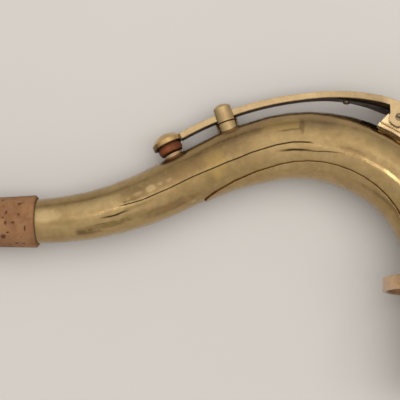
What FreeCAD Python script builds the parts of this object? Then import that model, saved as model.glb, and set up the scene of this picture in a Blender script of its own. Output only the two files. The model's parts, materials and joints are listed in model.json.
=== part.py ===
import FreeCAD, Part
import math
import os

# Neck of a tenor saxophone with its octave key, in millimetres and degrees.
# It is drawn with its bend in the XY plane: the mouthpipe runs from -X, the tenon points to -Y,
# and Z runs across the tube. At the end it is laid on its side, on the three points it rests on.

# Centre line of the tube, from the tip to the end of the tenon
mouthpipe_tilt = 1.4
mouthpipe_length = 55.0
dip_radius = 99.0
dip_turn = 25.3
rise_length = 12.8
ease_radius = 92.0
ease_turn = 15.5
crown_radius = 46.2
crown_turn = 61.0
tail_radius = 47.0
tail_length = 9.0

# Outer diameters of the tube, and its wall
tip_diameter = 13.7
shoulder_diameter = 14.2
rise_start_diameter = 17.4
rise_end_diameter = 17.7
crown_start_diameter = 20.5
crown_middle_diameter = 22.4
crown_end_diameter = 22.8
tenon_tube_diameter = 25.8
wall = 0.65
section_sag = 0.1

# Brace on the inner side of the bend
brace_start = 53.0
brace_length = 102.0
brace_thickness = 0.5
brace_half_angle = 51.5
brace_tip_angle = 4.0
brace_fullness_share = 0.55
brace_end_shares = (0, 0.003, 0.012, 0.03, 0.055)

# Tip ring and cork
tip_ring_length = 2.4
tip_ring_thickness = 0.55
tip_ring_edge = 0.25
cork_tip_thickness = 0.8
cork_seat_thickness = 0.95
cork_shoulder_thickness = 1.35
cork_lead_length = 5.0
cork_flare_length = 11.0
cork_edge = 0.4

# Tenon
sleeve_wall = 0.7
tenon_length = 22.0
tenon_chamfer = 0.5
collar_rise = 1.45
collar_length = 3.4
collar_edge = 0.9

# Octave pip and its flange, measured from the tube's surface
pip_place = 50.5
pip_diameter = 3.8
pip_bore = 1.9
pip_height = 0.8
pip_reach_inside = 1.0
pip_flange_diameter = 6.4
pip_flange_height = 0.55

# Pad and cup
cup_diameter = 10.2
cup_wall = 0.8
cup_side = 1.9
cup_dome = 2.1
cup_edge = 0.4
pad_step = 0.6
pad_show = 2.9
pad_seat_depth = 1.6
pad_edge = 0.4

# Guide post and its foot, measured from the tube's surface
post_place = 69.1
post_prong = 1.35
post_over_lever = 3.4
post_dome = 1.7
post_stem_diameter = 2.8
post_foot_diameter = 7.3
post_foot_height = 2.4
post_foot_edge = 0.4

# Saddle, measured along the tube and from the pivot
pivot_place = 114.3
pivot_height = 4.1
saddle_base_height = 0.8
saddle_base_width = 6.0
saddle_base_overhang = 0.5
saddle_width = 11.0
saddle_front = 4.3
saddle_back = 5.6
saddle_lean = 0.7
saddle_front_drop = 0.2
barrel_radius = 1.9

# Lever, yoke and pivot screw
lever_thickness = 2.1
lever_width = 4.0
lever_seat_height = 4.7
lever_lift_angle = 3.4
lever_tangent_share = 1.5
lever_over_pivot = 4.85
flare_length = 26.6
flare_shares = (0.2, 0.4, 0.6, 0.8, 1)
yoke_back = 3.4
cheek_thickness = 1.6
cheek_radius = 3.1
cheek_front = 5.4
screw_diameter = 2.2
screw_recess = 0.35
screw_slot_width = 0.5
screw_slot_depth = 0.6

# Loop and ring round the tenon
ring_room = 5.5
ring_thickness = 1.4
ring_height = 4.4
ring_offset = 1.6
ring_above_collar = 10.3
ring_edge = 0.3
arm_spread = 9.0
arm_width = 3.6
arm_tangent_share = 1.0
window_start = 2.4
window_shares = (0.05, 0.15, 0.3, 0.5, 0.75)
bumper_half_angle = 16.0
bumper_height = 2.9
bumper_edge = 0.3

# Leaf spring and its screw
spring_screw_place = 18.7
spring_thickness = 0.35
spring_width = 3.0
spring_tail = 2.4
spring_tip = 5.2
spring_set_angle = 0.8
spring_screw_diameter = 1.2
spring_head_diameter = 2.2
spring_head_height = 0.8
spring_head_edge = 0.25

# Motion and fits
opening_angle = 2.8
solder_gap = 0.05
running_gap = 0.04
clearance = 0.3
overrun = 2.0

# Middle and ends of an arc
arc_shares = (0, 0.5, 1)

# Counts for finding levels and the resting plane
level_rounds = 40
bend_steps = 60
resting_rounds = 12

Vector = FreeCAD.Vector
across = Vector(0, 0, 1)


def direction(heading):
    return Vector(math.cos(math.radians(heading)), math.sin(math.radians(heading)), 0)


def arc_length(radius, turn):
    return radius * math.radians(turn)


# A route is a start point, a heading and runs of (length, turn): straight where the turn is zero.
def walk(route, distance):
    point, heading, runs = route
    left = distance
    for index, (length, turn) in enumerate(runs):
        last = index == len(runs) - 1
        step = left if last else min(left, length)
        if turn == 0:
            point = point + direction(heading) * step
        else:
            radius = length / math.radians(abs(turn))
            side = math.copysign(90, turn)
            centre = point + direction(heading + side) * radius
            heading = heading + turn * step / length
            point = centre - direction(heading + side) * radius
        left = left - step
        if left <= 0:
            break
    return point, heading


def neck_route():
    tail_turn = 90 + mouthpipe_tilt + dip_turn - ease_turn - crown_turn
    runs = [
        (mouthpipe_length, 0),
        (arc_length(dip_radius, dip_turn), dip_turn),
        (rise_length, 0),
        (arc_length(ease_radius, ease_turn), -ease_turn),
        (arc_length(crown_radius, crown_turn), -crown_turn),
        (arc_length(tail_radius, tail_turn), -tail_turn),
        (tail_length + collar_length + tenon_length, 0),
    ]
    start = direction(mouthpipe_tilt) * -mouthpipe_length
    return start, mouthpipe_tilt, runs


neck = neck_route()
run_ends = [sum(length for length, turn in neck[2][:count]) for count in range(len(neck[2]) + 1)]
shoulder_place = run_ends[1]
crown_end_place = run_ends[5]
bend_end_place = run_ends[6]


# Outer radius of the tube at a distance from its tip, even between the measured places.
def tube_radius(distance):
    table = [
        (run_ends[0], tip_diameter),
        (run_ends[1], shoulder_diameter),
        (run_ends[2], rise_start_diameter),
        (run_ends[3], rise_end_diameter),
        (run_ends[4], crown_start_diameter),
        ((run_ends[4] + run_ends[5]) / 2, crown_middle_diameter),
        (run_ends[5], crown_end_diameter),
        (run_ends[6], tenon_tube_diameter),
        (run_ends[7], tenon_tube_diameter),
    ]
    for (start, start_size), (end, end_size) in zip(table, table[1:]):
        if distance <= end:
            share = (distance - start) / (end - start)
            return (start_size + (end_size - start_size) * share) / 2
    return table[-1][1] / 2


# Distances of the bent tube's sections: even steps within each run of the centre line, close
# enough that a chord from one to the next leaves the bend by no more than the stated sag.
def section_places():
    places = [shoulder_place]
    for length, turn in neck[2][1:-1]:
        steps = 1
        if turn:
            radius = length / math.radians(abs(turn))
            longest = 2 * radius * math.acos(1 - section_sag / radius)
            steps = math.ceil(length / longest)
        start = places[-1]
        places += [start + length * step / steps for step in range(1, steps + 1)]
    return places


def section_circle(distance, growth):
    point, heading = walk(neck, distance)
    circle = Part.Circle(point, direction(heading), tube_radius(distance) + growth)
    return Part.Wire([circle.toShape()])


# The tube's solid: a straight cone, a loft round the bends and a straight cylinder, longer by
# an extra length at both ends.
def tube_solid(growth, extra):
    tip, heading = walk(neck, -extra)
    tip_radius = tube_radius(-extra) + growth
    mouthpipe = Part.makeCone(
        tip_radius, shoulder_diameter / 2 + growth, mouthpipe_length + extra, tip, direction(heading)
    )
    bent = Part.makeLoft([section_circle(place, growth) for place in section_places()], True, True)
    top, heading = walk(neck, bend_end_place)
    length = tail_length + collar_length + tenon_length + extra
    tail = Part.makeCylinder(tenon_tube_diameter / 2 + growth, length, top, direction(heading))
    return mouthpipe.fuse([bent, tail])


# Moves a shape drawn with +X along the tube and +Y away from its centre line to its place on the tube.
def on_tube(shape, distance):
    point, heading = walk(neck, distance)
    placed = shape.copy()
    placed.rotate(Vector(0, 0, 0), across, heading)
    placed.translate(point)
    return placed


def tube_surface(distance):
    return tube_radius(shoulder_place + distance)


# Turned pieces: a profile of (radius, height) points round the Y axis, with arcs as three points.
def outline(points):
    edges = []
    corner = points[0]
    for item in points[1:] + [points[0]]:
        if len(item) == 3:
            through, end = item[1], item[2]
            edges.append(Part.Arc(Vector(*corner), Vector(*through), Vector(*end)).toShape())
            corner = end
        else:
            edges.append(Part.LineSegment(Vector(*corner), Vector(*item)).toShape())
            corner = item
    return Part.Face(Part.Wire(edges))


def turned(points, axis=Vector(0, 1, 0), angle=360):
    return outline(points).revolve(Vector(0, 0, 0), axis, angle)


def rod(radius, bottom, top):
    return Part.makeCylinder(radius, top - bottom, Vector(0, bottom, 0), Vector(0, 1, 0))


# Spherical dome from a rim to its top on the axis, as the middle and end points of an arc.
def dome_arc(radius, rim, top):
    height = top - rim
    sphere = (radius ** 2 + height ** 2) / (2 * height)
    half = math.asin(radius / sphere) / 2
    through = (sphere * math.sin(half), top - sphere + sphere * math.cos(half))
    return ("arc", through, (0, top))


# The tube: outer skin less its bore, with the hole that the octave pip stands in.
def make_neck_tube():
    tube = tube_solid(0, 0).cut(tube_solid(-wall, overrun))
    surface = tube_surface(pip_place)
    hole = rod(pip_diameter / 2 + solder_gap, surface - wall - overrun, surface + overrun)
    return tube.cut(on_tube(hole, shoulder_place + pip_place))


# Brace: a thin plate on the belly of the bend, widest at its middle and pointed at its ends.
def brace_angle(share):
    width = (1 - (2 * share - 1) ** 2) ** brace_fullness_share
    return brace_tip_angle + (brace_half_angle - brace_tip_angle) * width


def brace_section(share):
    distance = shoulder_place + brace_start + brace_length * share
    point, heading = walk(neck, distance)
    inward = direction(heading - 90)
    low = tube_radius(distance) + solder_gap + section_sag / 2
    high = low + brace_thickness
    half = math.radians(brace_angle(share))

    def spot(radius, angle):
        return point + inward * (radius * math.cos(angle)) + across * (radius * math.sin(angle))

    edges = [
        Part.Arc(spot(high, -half), spot(high, 0), spot(high, half)).toShape(),
        Part.LineSegment(spot(high, half), spot(low, half)).toShape(),
        Part.Arc(spot(low, half), spot(low, 0), spot(low, -half)).toShape(),
        Part.LineSegment(spot(low, -half), spot(high, -half)).toShape(),
    ]
    return Part.Wire(edges)


# Its sections are those of the tube under it, with closer ones where its ends narrow, so it
# stands off by the part of the sag that the tube's longer facets take there.
def make_bend_brace():
    start = shoulder_place + brace_start
    under = [(place - start) / brace_length for place in section_places()]
    last = brace_end_shares[-1]
    shares = [share for share in under if last < share < 1 - last]
    shares += list(brace_end_shares) + [1 - share for share in brace_end_shares]
    return Part.makeLoft([brace_section(share) for share in sorted(shares)], True, True)


# Sleeves on the straight mouthpipe are turned round its axis, with X along it from the tip.
def round_mouthpipe(points):
    sleeve = outline(points).revolve(Vector(0, 0, 0), Vector(1, 0, 0), 360)
    return on_tube(sleeve, 0)


def make_tip_ring():
    inner = tube_radius(tip_ring_length) + solder_gap
    outer = inner + tip_ring_thickness
    return round_mouthpipe([
        (0, inner),
        (0, outer - tip_ring_edge),
        (tip_ring_edge, outer),
        (tip_ring_length, outer),
        (tip_ring_length, inner),
    ])


# Radius of the cork's outside, for a thickness over the widest part of the mouthpipe.
def cork_radius(thickness):
    return max(tip_diameter, shoulder_diameter) / 2 + solder_gap + thickness


def make_mouthpiece_cork():
    start = tip_ring_length + solder_gap
    flare = mouthpipe_length - cork_flare_length
    tip = cork_radius(cork_tip_thickness)
    seat = cork_radius(cork_seat_thickness)
    shoulder = cork_radius(cork_shoulder_thickness)
    return round_mouthpipe([
        (start, tube_radius(start) + solder_gap),
        (start, tip - cork_edge),
        (start + cork_edge, tip),
        (start + cork_lead_length, seat),
        (flare, seat),
        (mouthpipe_length - cork_edge, shoulder),
        (mouthpipe_length, shoulder - cork_edge),
        (mouthpipe_length, tube_radius(mouthpipe_length) + solder_gap),
    ])


# The tenon's pieces are turned round its axis, with X along it from the top of the collar.
def round_tenon(points):
    sleeve = outline(points).revolve(Vector(0, 0, 0), Vector(1, 0, 0), 360)
    return on_tube(sleeve, bend_end_place + tail_length)


def tenon_bore():
    return tenon_tube_diameter / 2 + solder_gap


def tenon_radius():
    return tenon_bore() + sleeve_wall


def make_tenon_collar():
    outer = tenon_radius() + collar_rise
    return round_tenon([
        (0, tenon_bore()),
        (0, outer - collar_edge),
        (collar_edge, outer),
        (collar_length - collar_edge, outer),
        (collar_length, outer - collar_edge),
        (collar_length, tenon_bore()),
    ])


def make_tenon_sleeve():
    top = collar_length + solder_gap
    bottom = collar_length + tenon_length
    return round_tenon([
        (top, tenon_bore()),
        (top, tenon_radius()),
        (bottom - tenon_chamfer, tenon_radius()),
        (bottom, tenon_radius() - tenon_chamfer),
        (bottom, tenon_bore()),
    ])


# Octave pip: its tube goes through the wall, and its flange is soldered on the outside.
def make_octave_pip():
    surface = tube_surface(pip_place)
    inside = surface - wall - pip_reach_inside
    pip = rod(pip_diameter / 2, inside, surface + pip_height)
    bore = rod(pip_bore / 2, inside - overrun, surface + pip_height + overrun)
    return on_tube(pip.cut(bore), shoulder_place + pip_place)


def make_pip_base():
    surface = tube_surface(pip_place)
    flange = rod(pip_flange_diameter / 2, surface - overrun, surface + pip_flange_height)
    flange = flange.cut(rod(pip_diameter / 2 + solder_gap, surface - 2 * overrun, surface + overrun))
    return on_tube(flange, shoulder_place + pip_place).cut(tube_solid(solder_gap, 0))


# Cup and pad stand over the pip, the pad clear of its rim.
def cup_bottom():
    return tube_surface(pip_place) + pip_height + clearance + pad_show


def cup_recess():
    return cup_diameter / 2 - cup_wall


def make_pad_cup():
    low = cup_bottom()
    high = low + cup_side
    outer = cup_diameter / 2
    recess = cup_recess()
    ceiling = low + pad_seat_depth
    cup = turned([
        (0, ceiling),
        (recess, ceiling),
        (recess, low),
        (outer, low),
        (outer, high - cup_edge),
        (outer - cup_edge, high),
        dome_arc(outer - cup_edge, high, high + cup_dome),
    ])
    return on_tube(cup, shoulder_place + pip_place)


def make_octave_pad():
    low = cup_bottom() - pad_show
    step = cup_bottom() + solder_gap
    high = cup_bottom() + pad_seat_depth - solder_gap
    large = cup_recess() - solder_gap
    small = large - pad_step
    pad = turned([
        (0, high),
        (large, high),
        (large, step),
        (small, step),
        (small, low + pad_edge),
        (small - pad_edge, low),
        (0, low),
    ])
    return on_tube(pad, shoulder_place + pip_place)


# Guide post: a domed pin with a slot for the lever, standing by its stem in a round foot.
def make_guide_post_foot():
    surface = tube_surface(post_place)
    top = surface + post_foot_height
    radius = post_foot_diameter / 2
    stem = post_stem_diameter / 2 + solder_gap
    low = surface - overrun
    foot = turned([
        (stem, low),
        (radius, low),
        (radius, top - post_foot_edge),
        (radius - post_foot_edge, top),
        (stem, top),
    ])
    return on_tube(foot, shoulder_place + post_place).cut(tube_solid(solder_gap, 0))


def make_guide_post():
    surface = tube_surface(post_place)
    foot = surface + post_foot_height + solder_gap
    level = level_over_tube(lever_route(), post_place)
    top = level + lever_thickness / 2 + post_over_lever
    slot = lever_width + 2 * clearance
    radius = slot / 2 + post_prong
    stem = post_stem_diameter / 2
    post = turned([
        (0, surface + wall),
        (stem, surface + wall),
        (stem, foot),
        (radius, foot),
        (radius, top - post_dome),
        dome_arc(radius, top - post_dome, top),
    ])
    floor = level - lever_thickness / 2 - 2 * clearance
    gate = Part.makeBox(4 * radius, top, slot, Vector(-2 * radius, floor, -slot / 2))
    return on_tube(post.cut(gate), shoulder_place + post_place)


# Saddle: a block between the yoke's cheeks, on a plinth that fits the tube.
def pivot_level():
    return tube_surface(pivot_place) + pivot_height


def prism(points, width):
    return outline(points).extrude(across * width).translated(across * (-width / 2))


def make_saddle_base():
    surface = tube_surface(pivot_place)
    front = saddle_front + saddle_base_overhang
    back = saddle_back + saddle_base_overhang
    plinth = Part.makeBox(
        front + back, saddle_base_height + 2 * overrun, saddle_base_width,
        Vector(-front, surface - 2 * overrun, -saddle_base_width / 2),
    )
    return on_tube(plinth, shoulder_place + pivot_place).cut(tube_solid(solder_gap, 0))


def make_key_saddle():
    foot = tube_surface(pivot_place) + saddle_base_height + solder_gap
    level = pivot_level()
    front_top = level - saddle_front_drop
    back_top = spring_rest_level()
    reach_front = math.sqrt(barrel_radius ** 2 - saddle_front_drop ** 2)
    reach_back = math.sqrt(barrel_radius ** 2 - (back_top - level) ** 2)
    block = prism([
        (-saddle_front, foot),
        (saddle_back, foot),
        (saddle_back - saddle_lean, back_top),
        (reach_back, back_top),
        ("arc", (0, level + barrel_radius), (-reach_front, front_top)),
        (-saddle_front + saddle_lean, front_top),
    ], saddle_width)
    bore = Part.makeCylinder(
        screw_diameter / 2 + running_gap, 2 * saddle_width, Vector(0, level, -saddle_width), across
    )
    return on_tube(block.cut(bore), shoulder_place + pivot_place)


# Two tangent arcs between two points with given headings; ratio is the first tangent over the second.
def two_arcs(start, start_heading, end, end_heading, ratio):
    first = direction(start_heading)
    second = direction(end_heading)
    gap = end - start
    blend = first * ratio + second
    square = 2 * ratio * (first.dot(second) - 1)
    middle = -2 * gap.dot(blend)
    reach = (-middle - math.sqrt(middle ** 2 - 4 * square * gap.dot(gap))) / (2 * square)
    bend_a = start + first * (reach * ratio)
    bend_b = end - second * reach
    chord = bend_b - bend_a
    heading = math.degrees(math.atan2(chord.y, chord.x))
    runs = []
    for tangent, turn in ((reach * ratio, heading - start_heading), (reach, end_heading - heading)):
        radius = tangent / math.tan(math.radians(abs(turn)) / 2)
        runs.append((arc_length(radius, abs(turn)), turn))
    return start, start_heading, runs


def route_length(route):
    return sum(length for length, turn in route[2])


# Edges beside a route, at an offset to its left, from its start to its end.
def beside(route, offset):
    edges = []
    done = 0
    for length, turn in route[2]:
        spots = []
        for share in arc_shares:
            point, heading = walk(route, done + length * share)
            spots.append(point + direction(heading + 90) * offset)
        if turn == 0:
            edges.append(Part.LineSegment(spots[0], spots[2]).toShape())
        else:
            edges.append(Part.Arc(*spots).toShape())
        done = done + length
    return edges


# A strip as seen from its side: the band of a given thickness along a route, as wide as stated.
def strip(route, thickness, width):
    upper = beside(route, thickness / 2)
    lower = beside(route, -thickness / 2)
    start = Part.LineSegment(lower[0].Vertexes[0].Point, upper[0].Vertexes[0].Point).toShape()
    end = Part.LineSegment(upper[-1].Vertexes[-1].Point, lower[-1].Vertexes[-1].Point).toShape()
    face = Part.Face(Part.Wire(Part.__sortEdges__([start] + upper + [end] + lower)))
    return face.extrude(across * width).translated(across * (-width / 2))


def tube_spot(distance, height):
    point, heading = walk(neck, shoulder_place + distance)
    return point + direction(heading + 90) * height, heading


def pivot_spot():
    return tube_spot(pivot_place, pivot_level())


# Distance from the tube's centre line to a route, square to the tube at a place.
def level_over_tube(route, place):
    base, heading = tube_spot(place, 0)
    near = 0
    far = route_length(route)
    for count in range(level_rounds):
        middle = (near + far) / 2
        point = walk(route, middle)[0]
        if (point - base).dot(direction(heading)) < 0:
            near = middle
        else:
            far = middle
    return (walk(route, near)[0] - base).dot(direction(heading + 90))


# The lever's middle line: from the side of the cup to the back of the yoke, over the pivot.
def lever_route():
    post_side, heading = tube_spot(pip_place, tube_surface(pip_place) + lever_seat_height)
    start = post_side + direction(heading) * (cup_diameter / 2 - lever_thickness / 2)
    pivot, pivot_heading = pivot_spot()
    over = pivot + direction(pivot_heading + 90) * (lever_over_pivot - lever_thickness / 2)
    end = over + direction(pivot_heading) * yoke_back
    return two_arcs(start, heading + lever_lift_angle, end, pivot_heading, lever_tangent_share)


# Plan of the lever from above its chord: narrow past the post, then flaring to the yoke.
def yoke_half_width():
    return saddle_width / 2 + clearance + cheek_thickness


def plan_prism(start, end, sides, depth):
    chord = end - start
    heading = math.degrees(math.atan2(chord.y, chord.x))
    along = direction(heading)
    up = direction(heading + 90)
    spots = [start + along * place + across * side for place, side in sides]
    edges = [Part.LineSegment(a, b).toShape() for a, b in zip(spots, spots[1:] + spots[:1])]
    face = Part.Face(Part.Wire(edges))
    return face.extrude(up * (2 * depth)).translated(up * -depth)


def mirrored_sides(half):
    return half + [(place, -side) for place, side in reversed(half)]


def lever_plan():
    route = lever_route()
    start = route[0]
    end = walk(route, route_length(route))[0]
    length = (end - start).Length
    yoke = length - yoke_back - cheek_front
    wide = yoke_half_width()
    narrow = lever_width / 2
    flare = [
        (yoke - flare_length * (1 - share), narrow + (wide - narrow) * share ** 2)
        for share in flare_shares
    ]
    half = [(-overrun, narrow), (yoke - flare_length, narrow)] + flare + [(length + overrun, wide)]
    return plan_prism(start, end, mirrored_sides(half), length)


def make_cheek(side):
    level = pivot_level()
    top = level + lever_over_pivot - lever_thickness / 2
    plate = outline([
        (-cheek_radius, level),
        ("arc", (0, level - cheek_radius), (cheek_radius, level)),
        (cheek_radius, top),
        (-cheek_front, top),
    ]).extrude(across * cheek_thickness)
    inner = saddle_width / 2 + clearance
    low = inner if side > 0 else -inner - cheek_thickness
    return on_tube(plate.translated(across * low), shoulder_place + pivot_place)


def make_lever_arm():
    wide = 2 * yoke_half_width()
    lever = strip(lever_route(), lever_thickness, wide).common(lever_plan())
    lever = lever.fuse([make_cheek(1), make_cheek(-1)]).removeSplitter()
    surface = tube_surface(pip_place)
    seat = rod(cup_diameter / 2 + solder_gap, surface, surface + 2 * cup_diameter)
    lever = lever.cut(on_tube(seat, shoulder_place + pip_place))
    pivot = pivot_spot()[0]
    hole = Part.makeCylinder(
        screw_diameter / 2 + solder_gap, 2 * wide, pivot - across * wide, across
    )
    return lever.cut(hole).cut(spring_screw_hole())


def make_pivot_screw():
    pivot, heading = pivot_spot()
    half = yoke_half_width()
    shank = Part.makeCylinder(
        screw_diameter / 2, 2 * half - screw_recess, pivot - across * half, across
    )
    slot = Part.makeBox(
        2 * screw_diameter, screw_slot_width, screw_slot_depth,
        Vector(-screw_diameter, -screw_slot_width / 2, half - screw_recess - screw_slot_depth),
    )
    slot.rotate(Vector(0, 0, 0), across, heading)
    return shank.cut(slot.translated(pivot))


# Loop: two arms from the yoke over the back of the bend to a ring round the tenon.
def tenon_axis():
    return walk(neck, bend_end_place)[0].x


def ring_inner_radius():
    return tenon_tube_diameter / 2 + ring_room


def ring_centre():
    top = walk(neck, bend_end_place + tail_length)[0].y
    return Vector(tenon_axis() - ring_offset, top + ring_above_collar, 0)


def loop_route():
    route = lever_route()
    start, heading = walk(route, route_length(route))
    start = start + direction(heading) * solder_gap
    middle_radius = ring_inner_radius() + ring_thickness / 2
    reach = math.sqrt(middle_radius ** 2 - arm_spread ** 2)
    end = ring_centre() + Vector(reach, ring_height / 2, 0)
    route = two_arcs(start, heading, end, -90, arm_tangent_share)
    return start, heading, route[2] + [(ring_height - ring_edge, 0)]


def loop_plan():
    route = loop_route()
    start = route[0]
    end = walk(route, route_length(route))[0]
    length = (end - start).Length
    wide = yoke_half_width()
    outer = arm_spread + arm_width / 2
    inner = arm_spread - arm_width / 2
    outside = mirrored_sides([(-overrun, wide), (length + overrun, outer)])
    window = [(window_start, 0)] + [
        (window_start + (length - window_start) * share, inner * (1 - (1 - share) ** 2) ** 0.5)
        for share in window_shares
    ] + [(length + 2 * overrun, inner)]
    gap = window + [(place, -side) for place, side in reversed(window[1:])]
    plan = plan_prism(start, end, outside, length)
    return plan.cut(plan_prism(start, end, gap, 2 * length))


def ring_band(inner, outer, height, edge, angle):
    half = height / 2
    points = [
        (inner, edge - half),
        (inner + edge, -half),
        (outer - edge, -half),
        (outer, edge - half),
        (outer, half - edge),
        (outer - edge, half),
        (inner + edge, half),
        (inner, half - edge),
    ]
    return turned(points, Vector(0, 1, 0), angle)


def make_key_loop():
    span = 2 * (arm_spread + arm_width)
    arms = strip(loop_route(), lever_thickness, span).common(loop_plan())
    inner = ring_inner_radius()
    ring = ring_band(inner, inner + ring_thickness, ring_height, ring_edge, 360)
    ring = ring.translated(ring_centre())
    return ring.fuse(arms.Solids).removeSplitter()


# Bumper: a cork pad inside the back of the ring, as thick as the key's travel allows.
def ring_travel():
    edge = ring_centre() + Vector(ring_inner_radius(), -bumper_height / 2, 0)
    reach = edge - pivot_spot()[0]
    turn = math.radians(opening_angle)
    return reach.x * (1 - math.cos(turn)) - reach.y * math.sin(turn)


def make_bumper_cork():
    thickness = ring_room - ring_offset - ring_travel() - clearance
    outer = ring_inner_radius() - solder_gap
    cork = ring_band(outer - thickness, outer, bumper_height, bumper_edge, 2 * bumper_half_angle)
    cork.rotate(Vector(0, 0, 0), Vector(0, 1, 0), -bumper_half_angle)
    return cork.translated(ring_centre())


# Leaf spring: from its screw under the lever, over the saddle's barrel, to rest behind the pivot.
def spring_top_level():
    return pivot_level() + lever_over_pivot - lever_thickness - clearance / 2


def spring_rest_level():
    drop = spring_tip * math.sin(math.radians(opening_angle))
    return spring_top_level() - spring_thickness - clearance - drop - spring_sag()


def spring_sag():
    radius = lever_bend_radius()
    return radius - math.sqrt(radius ** 2 - spring_tip ** 2)


def lever_bend_radius():
    length, turn = lever_route()[2][1]
    return length / math.radians(abs(turn))


def spring_route():
    route = lever_route()
    total = route_length(route) - yoke_back
    radius = lever_bend_radius() - lever_thickness / 2 - spring_thickness / 2 - solder_gap
    start, heading = walk(route, total - spring_screw_place - spring_tail)
    start = start - direction(heading + 90) * (lever_bend_radius() - radius)
    pivot, pivot_heading = pivot_spot()
    over = pivot + direction(pivot_heading + 90) * (
        spring_top_level() - spring_thickness / 2 - pivot_level()
    )
    tip = over + direction(pivot_heading) * spring_tip
    tip = tip - direction(pivot_heading + 90) * spring_sag()
    tip_turn = math.degrees(math.asin(spring_tip / lever_bend_radius()))
    return two_arcs(start, heading - spring_set_angle, tip, pivot_heading - tip_turn, 1)


def spring_screw_axis():
    route = lever_route()
    place = route_length(route) - yoke_back - spring_screw_place
    return walk(route, place)


def spring_screw_hole():
    point, heading = spring_screw_axis()
    up = direction(heading + 90)
    radius = spring_screw_diameter / 2 + solder_gap
    return Part.makeCylinder(radius, 2 * overrun, point - up * overrun, up)


def make_flat_spring():
    spring = strip(spring_route(), spring_thickness, spring_width)
    return spring.cut(spring_screw_hole())


def make_spring_screw():
    point, heading = spring_screw_axis()
    up = direction(heading + 90)
    seat = lever_thickness / 2 + spring_thickness + 2 * solder_gap
    shank = Part.makeCylinder(
        spring_screw_diameter / 2, seat + lever_thickness / 2, point - up * seat, up
    )
    head = Part.makeCylinder(
        spring_head_diameter / 2, spring_head_height, point - up * (seat + spring_head_height), up
    )
    rim = min(head.Edges, key=lambda edge: edge.CenterOfMass.dot(up))
    head = head.makeChamfer(spring_head_edge, [rim])
    return head.fuse(shank).removeSplitter()


makers = {
    "neck_tube": make_neck_tube,
    "bend_brace": make_bend_brace,
    "tip_ring": make_tip_ring,
    "mouthpiece_cork": make_mouthpiece_cork,
    "tenon_sleeve": make_tenon_sleeve,
    "tenon_collar": make_tenon_collar,
    "pip_base": make_pip_base,
    "octave_pip": make_octave_pip,
    "guide_post_foot": make_guide_post_foot,
    "guide_post": make_guide_post,
    "saddle_base": make_saddle_base,
    "key_saddle": make_key_saddle,
    "lever_arm": make_lever_arm,
    "key_loop": make_key_loop,
    "pad_cup": make_pad_cup,
    "octave_pad": make_octave_pad,
    "flat_spring": make_flat_spring,
    "spring_screw": make_spring_screw,
    "pivot_screw": make_pivot_screw,
    "bumper_cork": make_bumper_cork,
}


# The point where a round section touches a plane below it with the given normal.
def touch(centre, axis, radius, normal):
    lean = normal - axis * normal.dot(axis)
    return centre - lean.normalize() * radius


def lowest(rounds, normal):
    spots = [touch(centre, axis, radius, normal) for centre, axis, radius in rounds]
    return min(spots, key=lambda spot: spot.dot(normal))


# The neck rests on the cork's tip, the side of the bend and the side of the ring.
def resting_normal():
    tip, heading = walk(neck, tip_ring_length + cork_edge)
    cork = [(tip, direction(heading), cork_radius(cork_tip_thickness))]
    bend = []
    for step in range(bend_steps + 1):
        place = shoulder_place + (crown_end_place - shoulder_place) * step / bend_steps
        point, heading = walk(neck, place)
        bend.append((point, direction(heading), tube_radius(place)))
    ring = []
    for side in (-1, 1):
        edge = ring_centre() + Vector(0, side * (ring_height / 2 - ring_edge), 0)
        ring.append((edge, Vector(0, 1, 0), ring_inner_radius() + ring_thickness))
    normal = Vector(0, 0, 1)
    for step in range(resting_rounds):
        feet = [lowest(group, normal) for group in (cork, bend, ring)]
        normal = (feet[2] - feet[0]).cross(feet[1] - feet[0]).normalize()
    return normal, feet[0].dot(normal)


# Turns the resting normal upright and keeps the mouthpipe's side view along X.
def resting_turn():
    normal, level = resting_normal()
    side = Vector(1, 0, 0)
    right = (side - normal * normal.dot(side)).normalize()
    front = normal.cross(right)
    return FreeCAD.Placement(FreeCAD.Matrix(
        right.x, right.y, right.z, 0,
        front.x, front.y, front.z, 0,
        normal.x, normal.y, normal.z, -level,
        0, 0, 0, 1,
    ))


def resting_place(shapes, turn):
    box = None
    for shape in shapes:
        turned_shape = shape.copy()
        turned_shape.Placement = turn
        own = turned_shape.optimalBoundingBox(False, False)
        if box is None:
            box = own
        else:
            box.add(own)
    shift = FreeCAD.Placement(Vector(-box.Center.x, -box.Center.y, 0), FreeCAD.Rotation())
    return shift.multiply(turn)


solids = {name: maker() for name, maker in makers.items()}
place = resting_place(solids.values(), resting_turn())

os.makedirs("parts", exist_ok=True)
for name, solid in solids.items():
    shape = solid.Solids[0] if len(solid.Solids) == 1 else Part.makeCompound(solid.Solids)
    shape.Placement = place.multiply(shape.Placement)
    shape.exportStep("parts/" + name + ".step")
    print(name, len(solid.Solids), shape.isValid(), round(shape.Volume, 2))
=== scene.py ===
import json
import math

import bpy
import numpy as np
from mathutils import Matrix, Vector
from mathutils.bvhtree import BVHTree


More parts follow.
